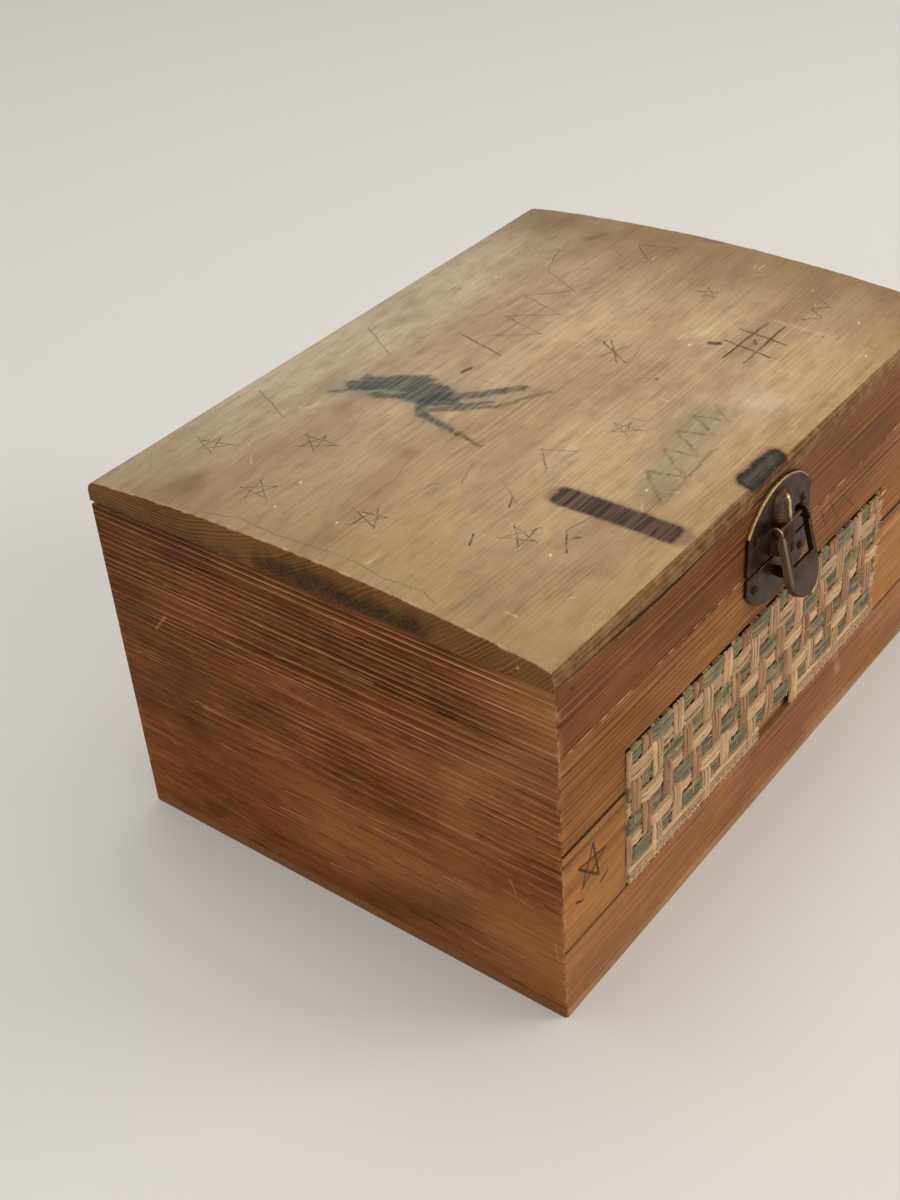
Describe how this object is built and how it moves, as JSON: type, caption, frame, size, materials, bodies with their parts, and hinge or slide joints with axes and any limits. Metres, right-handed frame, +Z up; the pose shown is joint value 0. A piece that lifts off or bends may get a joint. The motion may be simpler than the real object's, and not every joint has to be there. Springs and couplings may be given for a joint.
{
  "type": "wooden box with hinged lid",
  "caption": "Small stained pine keepsake box with a crowned hinged lid, a woven straw panel let into its front and a swinging brass hasp.",
  "frame": {"origin": "middle of the underside of the bottom board, on the surface the box stands on", "axes": "+X along the front from left to right, +Y from the front to the hinged back, +Z up"},
  "size_m": [0.2, 0.1627, 0.1161],
  "materials": {
    "stained_pine": "worn orange-brown varnish on straight-grained pine",
    "bare_pine": "varnish worn off to bare pale pine, with marks",
    "bottom_pine": "plain unfinished board",
    "straw": "plain-woven straw with dyed strands",
    "tarnished_brass": "brown tarnish, worn bright on edges",
    "hinge_brass": "dull brass",
    "nail_steel": "darkened steel wire"
  },
  "bodies": {
    "box": {"bottom_board": "bottom_pine", "front_plank_lower": "stained_pine", "front_plank_middle": "stained_pine", "front_plank_upper": "stained_pine", "left_wall": "stained_pine", "right_wall": "stained_pine", "back_wall": "stained_pine", "straw_mat": "straw", "bottom_nails": "nail_steel", "hasp_lower_plate": "tarnished_brass", "hasp_catch_stud": "tarnished_brass", "hasp_lower_nails": "tarnished_brass", "hinge_left_body_leaf": "hinge_brass", "hinge_right_body_leaf": "hinge_brass", "hinge_left_pin": "hinge_brass", "hinge_right_pin": "hinge_brass", "hinge_body_screws": "hinge_brass"},
    "lid": {"lid_board": "bare_pine", "lid_rail_front": "stained_pine", "lid_rail_left": "stained_pine", "lid_rail_right": "stained_pine", "lid_rail_back": "stained_pine", "lid_corner_brads": "nail_steel", "hinge_left_lid_leaf": "hinge_brass", "hinge_right_lid_leaf": "hinge_brass", "hinge_lid_screws": "hinge_brass", "hasp_upper_plate": "tarnished_brass", "hasp_pin": "tarnished_brass", "hasp_upper_nails": "tarnished_brass"},
    "bail": {"hasp_bail": "tarnished_brass"}
  },
  "joints": [
    {"name": "lid_hinge", "type": "hinge", "parent": "box", "child": "lid", "pos_m": [0, 0.0762, 0.08615], "axis": [-1, 0, 0], "range_deg": [0, 180]},
    {"name": "hasp_swing", "type": "hinge", "parent": "lid", "child": "bail", "pos_m": [0, -0.0774, 0.0958], "axis": [-1, 0, 0], "range_deg": [0, 163]}
  ]
}
